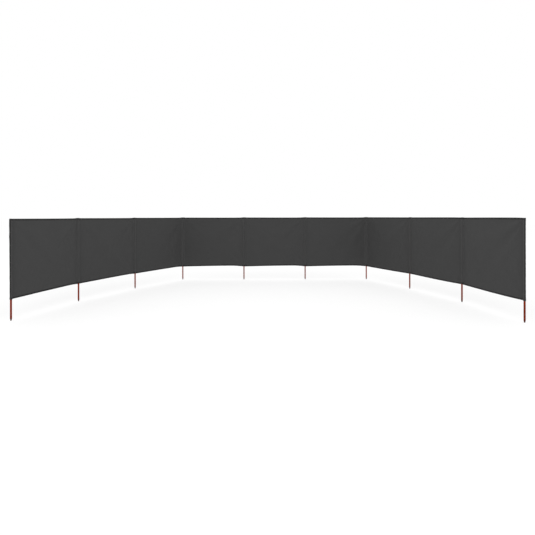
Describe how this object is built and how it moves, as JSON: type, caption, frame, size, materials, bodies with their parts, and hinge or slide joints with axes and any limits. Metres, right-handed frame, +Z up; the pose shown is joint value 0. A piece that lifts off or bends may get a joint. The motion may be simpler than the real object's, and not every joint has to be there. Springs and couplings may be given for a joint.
{
  "type": "beach windbreak",
  "caption": "Long dark cloth windbreak on slim wooden poles in sewn pockets, set up as an open U that shelters a patch of beach.",
  "frame": {"origin": "middle of the flat end of pole 5, at ground level, in the back row", "axes": "+X along the back row, to the right seen from the sheltered side; +Y to the windy side; +Z up along the poles"},
  "size_m": [6.7404, 3.8297, 1.351],
  "materials": {
    "pole_wood": "red-brown stained wood, satin",
    "windbreak_cloth": "anthracite woven polyester, matt",
    "pocket_cloth": "anthracite woven polyester, doubled and sewn"
  },
  "bodies": {
    "root": {"pole_1": "pole_wood", "pole_2": "pole_wood", "pole_3": "pole_wood", "pole_4": "pole_wood", "pole_5": "pole_wood", "pole_6": "pole_wood", "pole_7": "pole_wood", "pole_8": "pole_wood", "pole_9": "pole_wood", "pole_10": "pole_wood", "pocket_1": "pocket_cloth", "pocket_2": "pocket_cloth", "pocket_3": "pocket_cloth", "pocket_4": "pocket_cloth", "pocket_5": "pocket_cloth", "pocket_6": "pocket_cloth", "pocket_7": "pocket_cloth", "pocket_8": "pocket_cloth", "pocket_9": "pocket_cloth", "pocket_10": "pocket_cloth", "cloth_bay_1": "windbreak_cloth", "cloth_bay_2": "windbreak_cloth", "cloth_bay_3": "windbreak_cloth", "cloth_bay_4": "windbreak_cloth", "cloth_bay_5": "windbreak_cloth", "cloth_bay_6": "windbreak_cloth", "cloth_bay_7": "windbreak_cloth", "cloth_bay_8": "windbreak_cloth", "cloth_bay_9": "windbreak_cloth"}
  },
  "joints": []
}
